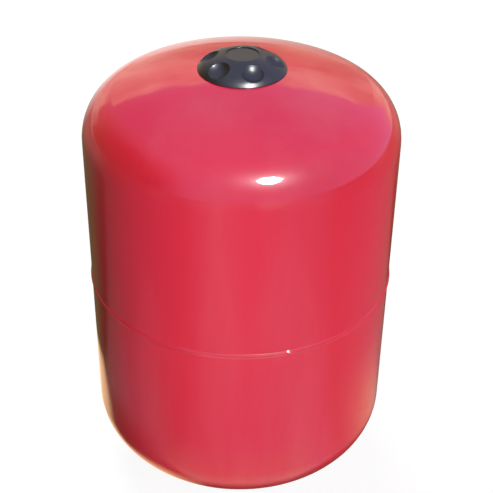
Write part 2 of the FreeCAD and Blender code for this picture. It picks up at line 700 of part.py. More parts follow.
def valve_core_spring():
    """Coil between the chamber's end wall and the pin's collar."""
    body = new_body("valve_core_spring")
    section = body.newObject("Sketcher::SketchObject", "spring_wire_section")
    section.AttachmentSupport = (datum(body, "XZ_Plane"), [""])
    section.MapMode = "FlatFace"
    coil_radius = "(pin_radius + core_chamber_radius) / 2"
    low = "chamber_low + spring_wire / 2"
    centre = FreeCAD.Vector(number(coil_radius), number(low), 0)
    section.addGeometry(Part.Circle(centre, FreeCAD.Vector(0, 0, 1), number("spring_wire / 2")), False)
    hold(section, 0, 3, "DistanceX", coil_radius, -2)
    hold(section, 0, 3, "DistanceY", low, -1)
    wire = section.addConstraint(Sketcher.Constraint("Radius", 0, number("spring_wire / 2")))
    section.setExpression(f"Constraints[{wire}]", full("spring_wire / 2"))
    coil = body.newObject("PartDesign::AdditiveHelix", "spring_coil")
    coil.Profile = section
    coil.ReferenceAxis = (datum(body, "Z_Axis"), [""])
    coil.Mode = "height-turns-angle"
    bind(coil, Height="collar_low - chamber_low - spring_wire", Turns="spring_turns")
    body.Tip = coil
    keep(body, "valve_core_spring")


# Cover

def dome_edge(share):
    """The point where the dome's arc meets the knuckle's, on the surface with this share."""
    return (f"knuckle_circle * {share}",
            f"dome_centre + (dome_foot - knuckle_drop - dome_centre) * {share}")


def cover_wall_body():
    """Dome wall, sunk disc and threaded socket as one turned outline."""
    body = new_body("cover_wall_body")
    inner = "(knuckle_circle + sqrt((cover_knuckle - cover_wall)^2 - (knuckle_drop + cover_foot)^2))"
    revolve(body, "cover_wall_turned", [
        ("0", "cover_ceiling"),
        ("socket_radius", "cover_ceiling"),
        ("socket_radius", "shell_top + socket_lift"),
        ("socket_outer_radius", "shell_top + socket_lift"),
        ("socket_outer_radius",
         "dome_centre + sqrt((dome_radius - cover_wall)^2 - socket_outer_radius^2)"),
        dome_edge("dome_inner_share"),
        (inner, "dome_foot + cover_foot"),
        (inner, f"upper_centre + sqrt(rim_sphere^2 - {inner}^2)"),
        ("cover_radius", "cover_base"),
        ("cover_radius", "dome_foot"),
        dome_edge("dome_share"),
        ("disc_radius", "dome_centre + sqrt(dome_radius^2 - disc_radius^2)"),
        ("disc_radius", "disc_plane"),
        ("0", "disc_plane"),
    ], {4: "-(dome_radius - cover_wall)", 5: "-(cover_knuckle - cover_wall)", 7: "-rim_sphere",
        9: "cover_knuckle", 10: "dome_radius"})
    return body


def cover_envelope():
    """Everything between the shell and the middle of the dome's wall, outside the socket's bore."""
    body = new_body("cover_envelope")
    edge = "(knuckle_circle + sqrt((cover_knuckle - cover_wall / 2)^2 - knuckle_drop^2))"
    dome = "(dome_radius - cover_wall / 2)"
    revolve(body, "cover_envelope_turned", [
        ("socket_radius", "upper_centre + sqrt(rim_sphere^2 - socket_radius^2)"),
        (edge, f"upper_centre + sqrt(rim_sphere^2 - {edge}^2)"),
        (edge, "dome_foot"),
        dome_edge("dome_middle_share"),
        ("socket_radius", f"dome_centre + sqrt({dome}^2 - socket_radius^2)"),
    ], {0: "-rim_sphere", 2: "cover_knuckle - cover_wall / 2", 3: dome})
    return body


def scoop_balls(name, radius):
    """One ball for each finger scoop, its seam turned up, out of the cover."""
    body = new_body(name, groups=True)
    ball = primitive(body, "AdditiveSphere", name + "_ball",
                     ("scoop_circle_radius * cos(scoop_angle)", "scoop_circle_radius * sin(scoop_angle)",
                      "cover_base + scoop_height"), Radius=radius)
    upright = FreeCAD.Rotation(FreeCAD.Vector(0, 0, 1), number("scoop_angle"))
    ball.AttachmentOffset.Rotation = upright * FreeCAD.Rotation(FreeCAD.Vector(0, 1, 0), -90)
    repeat(body, name + "_round", [ball], "scoop_count")
    return body


def cover_ribs():
    """Upright webs from the socket to the rim, midway between the scoops."""
    body = new_body("cover_ribs", groups=True)
    rib = primitive(body, "AdditiveBox", "cover_rib", ("0", "0", "0"),
                    Length="cover_radius - socket_radius", Width="rib_thickness",
                    Height="cover_rise + cover_land")
    turn = "scoop_angle + 180 / scoop_count"
    rib.setExpression("AttachmentOffset.Rotation.Angle", full(turn))
    rib.setExpression("AttachmentOffset.Base.x", full(
        f"socket_radius * cos({turn}) + rib_thickness / 2 * sin({turn})"))
    rib.setExpression("AttachmentOffset.Base.y", full(
        f"socket_radius * sin({turn}) - rib_thickness / 2 * cos({turn})"))
    rib.setExpression("AttachmentOffset.Base.z", full("shell_top + rib_lift"))
    repeat(body, "cover_ribs_round", [rib], "scoop_count")
    return body


def rim_edges(shape):
    """Names of the edges where the cover's outside turns into a scoop or down to the sunk disc."""
    scoop, disc = number("scoop_radius"), number("disc_plane")
    found = []
    for index, edge in enumerate(shape.Edges, start=1):
        surfaces = [face.Surface for face in shape.ancestorsOfType(edge, Part.Face)]
        in_scoop = any(abs(getattr(surface, "Radius", 0) - scoop) < 1e-6 for surface in surfaces)
        if in_scoop or edge.BoundBox.ZMin > disc + 1e-3:
            found.append(f"Edge{index}")
    return found


def valve_cover():
    """Moulded screw cover: thin dome, six scoops with their own backing, socket and webs."""
    inside = doc.addObject("Part::Fuse", "cover_inside")
    inside.Base = scoop_balls("scoop_backing", "scoop_radius + scoop_wall")
    inside.Tool = cover_ribs()
    trimmed = doc.addObject("Part::Common", "cover_inside_trimmed")
    trimmed.Base = inside
    trimmed.Tool = cover_envelope()
    blank = doc.addObject("Part::Fuse", "cover_blank")
    blank.Base = cover_wall_body()
    blank.Tool = trimmed
    scooped = doc.addObject("Part::Cut", "cover_scooped")
    scooped.Base = blank
    scooped.Tool = scoop_balls("scoops", "scoop_radius")
    doc.recompute()
    body = new_body("valve_cover")
    body.BaseFeature = scooped
    rounding = body.newObject("PartDesign::Fillet", "cover_rounding")
    rounding.Base = (body.Group[0], rim_edges(scooped.Shape))
    bind(rounding, Radius="cover_edge_round")
    body.Tip = rounding
    keep(body, "valve_cover")


def cover_seal():
    """Flat rubber ring between the boss's rim and the ceiling of the cover's socket."""
    turned("cover_seal", [
        ("boss_recess_radius + seal_inset", "boss_top"),
        ("boss_radius - seal_inset", "boss_top"),
        ("boss_radius - seal_inset", "cover_ceiling"),
        ("boss_recess_radius + seal_inset", "cover_ceiling"),
    ])


# Build, check and write

def check(items):
    """Stop at the first object that failed and the first sub-part without a sound shape."""
    for item in doc.Objects:
        if "Invalid" in item.State or "Error" in item.State:
            raise RuntimeError(f"{item.Name} failed: {item.State}")
    for item in items:
        if item.Shape.isNull() or not item.Shape.isValid() or not item.Shape.Solids:
            raise RuntimeError(f"{item.Label} has no sound solid")


fill_sizes()
for build in (upper_shell, lower_shell, girth_weld, flange_seat_ring, seat_ring_weld, bladder,
              counter_flange, connection_nipple, nipple_weld, flange_bolts, flange_washers,
              valve_boss, valve_boss_weld, valve_stem, valve_stem_gasket, valve_core_barrel,
              valve_core_gasket, valve_core_pin, valve_core_seal, valve_core_spring, dust_cap,
              dust_cap_seal, cover_seal, valve_cover):
    build()
doc.recompute()
check(pieces)
os.makedirs("parts", exist_ok=True)
for piece in pieces:
    piece.Shape.exportStep(f"parts/{piece.Label}.step")
    print(f"{piece.Label}: {len(piece.Shape.Solids)} solid(s), {piece.Shape.Volume:.1f} mm3")
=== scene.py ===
import math

import bmesh
import bpy
from mathutils import Matrix, Vector, noise


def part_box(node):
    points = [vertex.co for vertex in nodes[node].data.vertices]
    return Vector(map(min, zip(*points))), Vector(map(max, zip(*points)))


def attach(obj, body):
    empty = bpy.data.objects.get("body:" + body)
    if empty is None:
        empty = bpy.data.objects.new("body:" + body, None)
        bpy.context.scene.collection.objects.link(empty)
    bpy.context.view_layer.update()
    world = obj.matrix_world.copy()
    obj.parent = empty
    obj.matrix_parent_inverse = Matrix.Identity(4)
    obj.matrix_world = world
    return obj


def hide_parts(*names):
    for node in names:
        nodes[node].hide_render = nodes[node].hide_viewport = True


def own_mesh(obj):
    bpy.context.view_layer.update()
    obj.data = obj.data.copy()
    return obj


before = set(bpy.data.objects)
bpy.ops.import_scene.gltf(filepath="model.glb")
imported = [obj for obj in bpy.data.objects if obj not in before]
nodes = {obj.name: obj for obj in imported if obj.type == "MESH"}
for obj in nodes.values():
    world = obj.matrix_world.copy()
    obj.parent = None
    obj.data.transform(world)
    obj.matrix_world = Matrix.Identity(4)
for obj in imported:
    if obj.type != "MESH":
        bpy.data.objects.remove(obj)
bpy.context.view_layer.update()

# Sizes in metres, heights from the end of the connection

SHELL_RADIUS = 0.1425

# The girth weld, and the lump where the weld ends
SEAM = 0.233015
BEAD_HALF_WIDTH = 0.0026
BEAD_RISE = 0.0012
BEAD_ROOT = 0.0012
BEAD_STEPS = 1800
LUMP_ALONG = -math.radians(72.4) * SHELL_RADIUS
LUMP_HALF_LENGTH = 0.0016
LUMP_HALF_WIDTH = 0.0012
LUMP_RISE = 0.0024

# The connection's pipe thread and the boss's thread for the cover
THREAD_STEPS = 144
THREAD_RUNOUT = 0.0008
PIPE_THREAD_PITCH = 0.002309
PIPE_THREAD_DEPTH = 0.00145
PIPE_THREAD_TOP = 0.017
PIPE_BORE = 0.0135
PIPE_NECK = 0.016
COVER_THREAD_PITCH = 0.002
COVER_THREAD_DEPTH = 0.0011
COVER_THREAD_START = 0.010
BOSS_BORE = 0.0049
BOSS_RECESS = 0.0125
BOSS_FLOOR = 0.004

# The flange's bolts
BOLT_COUNT = 6
BOLT_CIRCLE = 0.065
BOLT_ACROSS_FLATS = 0.013
BOLT_ROUND_FACE = 0.0055
BOLT_HEAD = 0.0053
BOLT_SHANK = 0.004

# The spring of the valve core
SPRING_FOOT = 0.434511
SPRING_LENGTH = 0.0054
SPRING_WIRE = 0.00026
SPRING_COIL_RADIUS = 0.000925
SPRING_TURNS = 5
SPRING_STEPS = 240

# The camera as fitted to the photograph
CAMERA_PLACE = Vector((0.0, -0.91122, 0.87001))
CAMERA_TILT = 0.596
CAMERA_ROLL = 0.0100
CAMERA_FOCAL_SHARE = 1148.777 / 493
CAMERA_SHIFT = 6.05 / 493


# Helpers for meshes

def finished_piece(name, mesh_in_work, finish, body, smooth_below=40):
    """Turn a bmesh into an object that rides on a body of the tank."""
    bmesh.ops.remove_doubles(mesh_in_work, verts=mesh_in_work.verts, dist=1e-7)
    bmesh.ops.recalc_face_normals(mesh_in_work, faces=mesh_in_work.faces)
    for face in mesh_in_work.faces:
        face.smooth = True
    for edge in mesh_in_work.edges:
        edge.smooth = edge.calc_face_angle(0) < math.radians(smooth_below)
    mesh = bpy.data.meshes.new(name)
    mesh_in_work.to_mesh(mesh)
    mesh_in_work.free()
    piece = bpy.data.objects.new(name, mesh)
    bpy.context.scene.collection.objects.link(piece)
    piece.data.materials.append(finish)
    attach(piece, body)
    return piece


def turned_blank(outline, steps, closed=True):
    """A bmesh turned round Z from an outline of (radius, height) points."""
    blank = bmesh.new()
    points = [blank.verts.new((radius, 0, height)) for radius, height in outline]
    pairs = list(zip(points, points[1:])) + ([(points[-1], points[0])] if closed else [])
    edges = [blank.edges.new(pair) for pair in pairs]
    bmesh.ops.spin(blank, geom=points + edges, cent=(0, 0, 0), axis=(0, 0, 1),
                   angle=math.tau, steps=steps, use_merge=True)
    bmesh.ops.remove_doubles(blank, verts=blank.verts, dist=1e-7)
    return blank


def even_steps(start, end, count):
    """Values from start to end in equal steps, both ends included."""
    return [start + (end - start) * index / count for index in range(count + 1)]


def cut_thread(blank, radius, low, high, pitch, depth):
    """Press a right-hand thread into the outside of a turned blank, run out at both ends."""
    for vert in blank.verts:
        away = math.hypot(vert.co.x, vert.co.y)
        if abs(away - radius) > 1e-6 or not low - 1e-6 <= vert.co.z <= high + 1e-6:
            continue
        turn = math.atan2(vert.co.y, vert.co.x) / math.tau
        phase = ((vert.co.z - low) / pitch - turn) % 1.0
        flank = min(1.0, max(0.0, abs(phase - 0.5) * 2.6 - 0.3))
        ends = min(1.0, (vert.co.z - low) / THREAD_RUNOUT, (high - vert.co.z) / THREAD_RUNOUT)
        inwards = depth * (1 - flank) * max(0.0, ends)
        vert.co.x *= (away - inwards) / away
        vert.co.y *= (away - inwards) / away


# Helpers for finishes

def new_finish(name):
    """A material with its shader and the object's own coordinates."""
    finish = bpy.data.materials.new(name)
    finish.use_nodes = True
    tree = finish.node_tree
    coordinates = tree.nodes.new("ShaderNodeTexCoord")
    return finish, tree, tree.nodes["Principled BSDF"], coordinates.outputs["Object"]


def grain(tree, where, scale, detail=2.0, roughness=0.5, stretch=(1, 1, 1), start=(0, 0, 0)):
    """Noise in the object's coordinates."""
    placing = tree.nodes.new("ShaderNodeMapping")
    placing.inputs["Scale"].default_value = stretch
    placing.inputs["Location"].default_value = start
    texture = tree.nodes.new("ShaderNodeTexNoise")
    texture.inputs["Scale"].default_value = scale
    texture.inputs["Detail"].default_value = detail
    texture.inputs["Roughness"].default_value = roughness
    tree.links.new(where, placing.inputs["Vector"])
    tree.links.new(placing.outputs["Vector"], texture.inputs["Vector"])
    return texture.outputs["Fac"]


def spread(tree, value, low, high, out_low=0.0, out_high=1.0):
    """Stretch a value between low and high to a new range, held at its ends."""
    mapping = tree.nodes.new("ShaderNodeMapRange")
    mapping.clamp = True
    for name, number in (("From Min", low), ("From Max", high),
                         ("To Min", out_low), ("To Max", out_high)):
        mapping.inputs[name].default_value = number
    tree.links.new(value, mapping.inputs["Value"])
    return mapping.outputs["Result"]


def blend_colours(tree, factor, first, second):
    """Two colours mixed by a factor; a colour is numbers or an output."""
    mix = tree.nodes.new("ShaderNodeMix")
    mix.data_type = "RGBA"
    tree.links.new(factor, mix.inputs["Factor"])
    for socket, colour in ((mix.inputs[6], first), (mix.inputs[7], second)):
        if isinstance(colour, tuple):
            socket.default_value = (*colour, 1)
        else:
            tree.links.new(colour, socket)
    return mix.outputs[2]


def combine(tree, operation, first, second):
    """Two values joined by a math node; each is a number or an output."""
    node = tree.nodes.new("ShaderNodeMath")
    node.operation = operation
    for socket, value in zip(node.inputs, (first, second)):
        if isinstance(value, (int, float)):
            socket.default_value = value
        else:
            tree.links.new(value, socket)
    return node.outputs[0]


def raise_surface(tree, height, depth, before=None):
    """Bump of the given depth in metres, on top of another bump."""
    bump = tree.nodes.new("ShaderNodeBump")
    bump.inputs["Distance"].default_value = depth
    tree.links.new(height, bump.inputs["Height"])
    if before is not None:
        tree.links.new(before, bump.inputs["Normal"])
    return bump.outputs["Normal"]


def dress(finish, *names):
    """Give CAD nodes their finish."""
    for name in names:
        for slot in nodes[name].material_slots:
            slot.material = finish


# Finishes

def gloss_red_paint(name, coat_roughness):
    """Stoved gloss paint on drawn sheet: faint orange peel over the sheet's slow waves, and faint pale
    pink streaks stretched upright.
    """
    finish, tree, shader, where = new_finish(name)
    shade = spread(tree, grain(tree, where, 7, 3, stretch=(1, 1, 0.3)), 0.3, 0.7)
    paint = blend_colours(tree, shade, (0.675, 0.0095, 0.040), (0.715, 0.0125, 0.047))
    # Faint pale pink streaks, stretched upright, lighten the paint colour here and there.
    pale_streaks = spread(tree, grain(tree, where, 13, 4, 0.6, stretch=(1, 1, 0.16), start=(0.2, 0.1, 0)),
                   0.51, 0.72, 0.0, 0.10)
    tree.links.new(blend_colours(tree, pale_streaks, paint, (0.72, 0.22, 0.24)), shader.inputs["Base Color"])
    tree.links.new(spread(tree, grain(tree, where, 60, 4), 0.3, 0.7, 0.32, 0.40),
                   shader.inputs["Roughness"])
    shader.inputs["Diffuse Roughness"].default_value = 0.25
    shader.inputs["Specular IOR Level"].default_value = 0.12
    shader.inputs["Coat Weight"].default_value = 1.0
    shader.inputs["Coat Roughness"].default_value = coat_roughness
    waves = raise_surface(tree, grain(tree, where, 14, 1, 0.4), 0.00035)
    peel = raise_surface(tree, grain(tree, where, 420, 1), 0.000006, waves)
    tree.links.new(peel, shader.inputs["Normal"])
    tree.links.new(peel, shader.inputs["Coat Normal"])
    return finish


def cover_plastic():
    """Moulded black plastic, fairly glossy, with the fine grain of its mould."""
    finish, tree, shader, where = new_finish("cover_black_moulding")
    shade = spread(tree, grain(tree, where, 40, 3), 0.3, 0.7)
    tree.links.new(blend_colours(tree, shade, (0.010, 0.010, 0.011), (0.015, 0.015, 0.016)),
                   shader.inputs["Base Color"])
    tree.links.new(spread(tree, grain(tree, where, 240, 3), 0.3, 0.7, 0.30, 0.38),
                   shader.inputs["Roughness"])
    fine = raise_surface(tree, grain(tree, where, 1800, 2), 0.000006)
    tree.links.new(fine, shader.inputs["Normal"])
    return finish


def zinc_plate():
    """Bright zinc plating with cloudy patches."""
    finish, tree, shader, where = new_finish("zinc_plating")
    shader.inputs["Metallic"].default_value = 1.0
    patches = spread(tree, grain(tree, where, 70, 4), 0.35, 0.65)
    tree.links.new(blend_colours(tree, patches, (0.50, 0.51, 0.52), (0.66, 0.66, 0.64)),
                   shader.inputs["Base Color"])
    tree.links.new(spread(tree, grain(tree, where, 160, 4, start=(3, 1, 2)), 0.3, 0.7, 0.26, 0.46),
                   shader.inputs["Roughness"])
    tree.links.new(raise_surface(tree, grain(tree, where, 900, 3), 0.00001), shader.inputs["Normal"])
    return finish


def turned_metal(name, dark, light, rough):
    """Turned metal: fine rings round the tank's axis."""
    finish, tree, shader, where = new_finish(name)
    shader.inputs["Metallic"].default_value = 1.0
    tone = spread(tree, grain(tree, where, 120, 3), 0.3, 0.7)
    tree.links.new(blend_colours(tree, tone, dark, light), shader.inputs["Base Color"])
    tree.links.new(spread(tree, grain(tree, where, 300, 2), 0.3, 0.7, rough, rough + 0.12),
                   shader.inputs["Roughness"])
    rings = grain(tree, where, 60, 2, stretch=(1, 1, 90))
    tree.links.new(raise_surface(tree, rings, 0.00001), shader.inputs["Normal"])
    return finish


def black_rubber(name, tone, rough):
    """Matte rubber with a dusty bloom."""
    finish, tree, shader, where = new_finish(name)
    bloom = spread(tree, grain(tree, where, 55, 5, 0.6), 0.35, 0.75)
    tree.links.new(blend_colours(tree, bloom, (tone, tone, tone), (tone * 1.9, tone * 1.9, tone * 1.8)),
                   shader.inputs["Base Color"])
    tree.links.new(spread(tree, grain(tree, where, 200, 3), 0.3, 0.7, rough, rough + 0.12),
                   shader.inputs["Roughness"])
    tree.links.new(raise_surface(tree, grain(tree, where, 1300, 3), 0.00002), shader.inputs["Normal"])
    return finish


red_paint = gloss_red_paint("tank_gloss_red", 0.07)
weld_paint = gloss_red_paint("weld_gloss_red", 0.22)
black_moulding = cover_plastic()
zinc = zinc_plate()
boss_steel = turned_metal("boss_turned_steel", (0.42, 0.42, 0.42), (0.56, 0.55, 0.54), 0.28)
brass = turned_metal("valve_turned_brass", (0.60, 0.40, 0.14), (0.74, 0.52, 0.20), 0.22)
bright_wire = turned_metal("spring_bright_wire", (0.55, 0.55, 0.55), (0.68, 0.68, 0.67), 0.2)
bladder_rubber = black_rubber("bladder_rubber", 0.018, 0.7)
seal_rubber = black_rubber("seal_rubber", 0.014, 0.62)
cap_moulding = black_rubber("dust_cap_moulding", 0.012, 0.45)

dress(red_paint, "upper_shell", "lower_shell", "girth_weld", "flange_seat_ring", "seat_ring_weld")
dress(black_moulding, "valve_cover")
dress(zinc, "counter_flange", "connection_nipple", "nipple_weld", "flange_bolts", "flange_washers")
dress(boss_steel, "valve_boss", "valve_boss_weld")
dress(brass, "valve_stem", "valve_core_barrel", "valve_core_pin")
dress(bladder_rubber, "bladder")
dress(seal_rubber, "valve_stem_gasket", "valve_core_gasket", "valve_core_seal", "dust_cap_seal",
      "cover_seal")
dress(cap_moulding, "dust_cap")


# Pieces

def weld_bead():
    """Painted girth weld: a low bead, fuller above, rippled and uneven, with a lump where it ends."""
    inner = SHELL_RADIUS - BEAD_ROOT
    rise = [(SHELL_RADIUS + BEAD_RISE * math.cos(share * math.pi / 2) ** (0.9 if share > 0 else 1.7),
             SEAM + BEAD_HALF_WIDTH * share)
            for share in even_steps(-1, 1, 14)]
    outline = [(inner, SEAM - BEAD_ROOT), (inner, SEAM + BEAD_ROOT), *reversed(rise)]
    bead = turned_blank(outline, BEAD_STEPS)
    for vert in bead.verts:
        away = math.hypot(vert.co.x, vert.co.y)
        proud = away - SHELL_RADIUS
        if proud < 1e-5:
            continue
        angle = math.atan2(vert.co.y, vert.co.x)
        along = angle * SHELL_RADIUS
        side = (vert.co.z - SEAM) / BEAD_HALF_WIDTH
        ripple = math.sin(220 * angle + 2.2 * side * side)
        slow = noise.noise(Vector((vert.co.x * 45, vert.co.y * 45, 3.1)))
        beside = (along - LUMP_ALONG) / LUMP_HALF_LENGTH
        above = (vert.co.z - SEAM - 0.0003) / LUMP_HALF_WIDTH
        lump = math.exp(-beside * beside - above * above)
        risen = proud * (0.88 + 0.025 * ripple + 0.10 * slow) * (1 - lump) + LUMP_RISE * lump
        vert.co.x *= (SHELL_RADIUS + risen) / away
        vert.co.y *= (SHELL_RADIUS + risen) / away
        vert.co.z += 0.00028 * noise.noise(Vector((along * 28, 7.7, 0.4))) * (1 - abs(side))
    piece = finished_piece("girth_weld_bead", bead, weld_paint, "tank", 70)
    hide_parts("girth_weld")
    return piece


def threaded_connection():
    """The connection with its pipe thread."""
    low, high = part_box("connection_nipple")
    outer, chamfer, edge = high.x, 0.0015, 0.0004
    rows = even_steps(low.z + chamfer, PIPE_THREAD_TOP, 62)
    outline = [(PIPE_BORE, low.z + edge), (PIPE_BORE + edge, low.z), (outer - chamfer, low.z),
               *[(outer, height) for height in rows],
               (PIPE_NECK, PIPE_THREAD_TOP), (PIPE_NECK, high.z), (PIPE_BORE, high.z)]
    blank = turned_blank(outline, THREAD_STEPS)
    cut_thread(blank, outer, rows[0], rows[-1], PIPE_THREAD_PITCH, PIPE_THREAD_DEPTH)
    piece = finished_piece("connection_thread", blank, zinc, "tank", 50)
    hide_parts("connection_nipple")
    return piece


def threaded_boss():
    """The valve's boss with the thread that the cover screws on."""
    low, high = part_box("valve_boss")
    outer, floor, chamfer = high.x, low.z + BOSS_FLOOR, 0.0008
    rows = even_steps(low.z + COVER_THREAD_START, high.z - chamfer, 60)
    outline = [(BOSS_BORE, low.z), (outer, low.z), *[(outer, height) for height in rows],
               (outer - chamfer, high.z), (BOSS_RECESS, high.z),
               (BOSS_RECESS, floor), (BOSS_BORE, floor)]
    blank = turned_blank(outline, THREAD_STEPS)
    cut_thread(blank, outer, rows[0], rows[-1], COVER_THREAD_PITCH, COVER_THREAD_DEPTH)
    piece = finished_piece("boss_thread", blank, boss_steel, "tank", 50)
    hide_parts("valve_boss")
    return piece


def chamfered_bolt(low, high):
    """One bolt on Z between two heights, its hexagon head chamfered towards the outer face."""
    head_top = low + BOLT_HEAD
    outline = [(0.0, low), (0.0046, low), (0.0053, low + 0.00006),
               *[(0.0075, height) for height in even_steps(low + 0.0003, head_top - 0.0002, 10)],
               (0.0060, head_top - 0.0001), (0.0058, head_top), (BOLT_SHANK, head_top),
               (BOLT_SHANK, high - 0.0006), (BOLT_SHANK - 0.0006, high), (0.0, high)]
    bolt = turned_blank(outline, 72, closed=False)
    for vert in bolt.verts:
        away = math.hypot(vert.co.x, vert.co.y)
        if away < BOLT_ROUND_FACE or vert.co.z > head_top - 0.00015:
            continue
        angle = math.atan2(vert.co.y, vert.co.x)
        corner = math.remainder(angle - math.pi / 6, math.pi / 3)
        hexagon = BOLT_ACROSS_FLATS / 2 / math.cos(corner)
        cone = 0.0061 + (vert.co.z - low) * 1.9
        wanted = min(hexagon, cone)
        vert.co.x *= wanted / away
        vert.co.y *= wanted / away
    return bolt


def chamfered_bolts():
    """The flange's bolts in their circle, as one piece."""
    low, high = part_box("flange_bolts")
    bolts = bmesh.new()
    for index in range(BOLT_COUNT):
        bolt = chamfered_bolt(low.z, high.z)
        place = (Matrix.Rotation(index * math.tau / BOLT_COUNT, 4, "Z")
                 @ Matrix.Translation((BOLT_CIRCLE, 0, 0)))
        bmesh.ops.transform(bolt, matrix=place, verts=bolt.verts)
        spare = bpy.data.meshes.new("bolt_spare")
        bolt.to_mesh(spare)
        bolt.free()
        bolts.from_mesh(spare)
        bpy.data.meshes.remove(spare)
    piece = finished_piece("flange_bolt_set", bolts, zinc, "tank", 35)
    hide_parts("flange_bolts")
    return piece


def core_spring():
    """The core's spring, which on the real valve shortens as the pin is pushed down on it; here a coil
    of fixed length.
    """
    climb = (SPRING_LENGTH - SPRING_WIRE) / SPRING_STEPS
    coil = bmesh.new()
    place = (Matrix.Translation((SPRING_COIL_RADIUS, 0, SPRING_FOOT + SPRING_WIRE / 2))
             @ Matrix.Rotation(math.pi / 2, 4, "X"))
    bmesh.ops.create_circle(coil, cap_ends=False, radius=SPRING_WIRE / 2, segments=12, matrix=place)
    bmesh.ops.spin(coil, geom=coil.verts[:] + coil.edges[:], cent=(0, 0, 0), axis=(0, 0, 1),
                   dvec=(0, 0, climb), angle=SPRING_TURNS * math.tau, steps=SPRING_STEPS)
    bmesh.ops.holes_fill(coil, edges=[edge for edge in coil.edges if edge.is_boundary], sides=0)
    piece = finished_piece("core_spring_coil", coil, bright_wire, "tank", 50)
    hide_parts("valve_core_spring")
    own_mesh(piece)
    return piece


weld_bead()
threaded_connection()
threaded_boss()
chamfered_bolts()
core_spring()


# Floor, light and camera

def seen_directly(tree):
    """1 for camera, glossy and transmission rays, 0 for the light that reaches the object."""
    rays = tree.nodes.new("ShaderNodeLightPath").outputs
    seen = combine(tree, "MAXIMUM", rays["Is Camera Ray"], rays["Is Glossy Ray"])
    return combine(tree, "MAXIMUM", seen, rays["Is Transmission Ray"])


def flat_stage_piece(name, mesh_in_work, finish):
    """An object of the studio, not of the tank."""
    mesh = bpy.data.meshes.new(name)
    mesh_in_work.to_mesh(mesh)
    mesh_in_work.free()
    mesh.materials.append(finish)
    piece = bpy.data.objects.new(name, mesh)
    bpy.context.scene.collection.objects.link(piece)
    return piece


def studio_finish(name):
    """An empty material for the studio."""
    finish = bpy.data.materials.new(name)
    finish.use_nodes = True
    tree = finish.node_tree
    tree.nodes.remove(tree.nodes["Principled BSDF"])
    return finish, tree, tree.nodes["Material Output"].inputs["Surface"]


def pale_floor():
    """White floor that keeps a light shadow and throws back less light than it shows."""
    finish, tree, surface = studio_finish("floor_white")
    seen = seen_directly(tree)
    matte = tree.nodes.new("ShaderNodeBsdfDiffuse")
    tone = blend_colours(tree, seen, (0.09, 0.09, 0.09), (0.93, 0.93, 0.93))
    tree.links.new(tone, matte.inputs["Color"])
    white = tree.nodes.new("ShaderNodeEmission")
    white.inputs["Strength"].default_value = 1.06
    mix = tree.nodes.new("ShaderNodeMixShader")
    tree.links.new(spread(tree, seen, 0, 1, 0, 0.86), mix.inputs["Fac"])
    tree.links.new(matte.outputs[0], mix.inputs[1])
    tree.links.new(white.outputs[0], mix.inputs[2])
    tree.links.new(mix.outputs[0], surface)
    blank = bmesh.new()
    bmesh.ops.create_grid(blank, x_segments=1, y_segments=1, size=9)
    return flat_stage_piece("studio_floor", blank, finish)


def ramp(tree, value, stops):
    """A colour for each value between 0 and 1."""
    node = tree.nodes.new("ShaderNodeValToRGB")
    band = node.color_ramp
    for index, (place, colour) in enumerate(stops):
        stop = band.elements[index] if index < 2 else band.elements.new(place)
        stop.position = place
        stop.color = (*colour, 1)
    tree.links.new(value, node.inputs[0])
    return node.outputs[0]


def dot_with(tree, vector, direction):
    """How far a vector points along a direction."""
    product = tree.nodes.new("ShaderNodeVectorMath")
    product.operation = "DOT_PRODUCT"
    product.inputs[1].default_value = direction
    tree.links.new(vector, product.inputs[0])
    return product.outputs["Value"]


def level_direction(tree, vector):
    """A vector laid level, of unit length, and its length before that."""
    flat = tree.nodes.new("ShaderNodeVectorMath")
    flat.operation = "MULTIPLY"
    flat.inputs[1].default_value = (1, 1, 0)
    tree.links.new(vector, flat.inputs[0])
    unit = tree.nodes.new("ShaderNodeVectorMath")
    unit.operation = "NORMALIZE"
    tree.links.new(flat.outputs[0], unit.inputs[0])
    length = tree.nodes.new("ShaderNodeVectorMath")
    length.operation = "LENGTH"
    tree.links.new(flat.outputs[0], length.inputs[0])
    return unit.outputs[0], length.outputs["Value"]


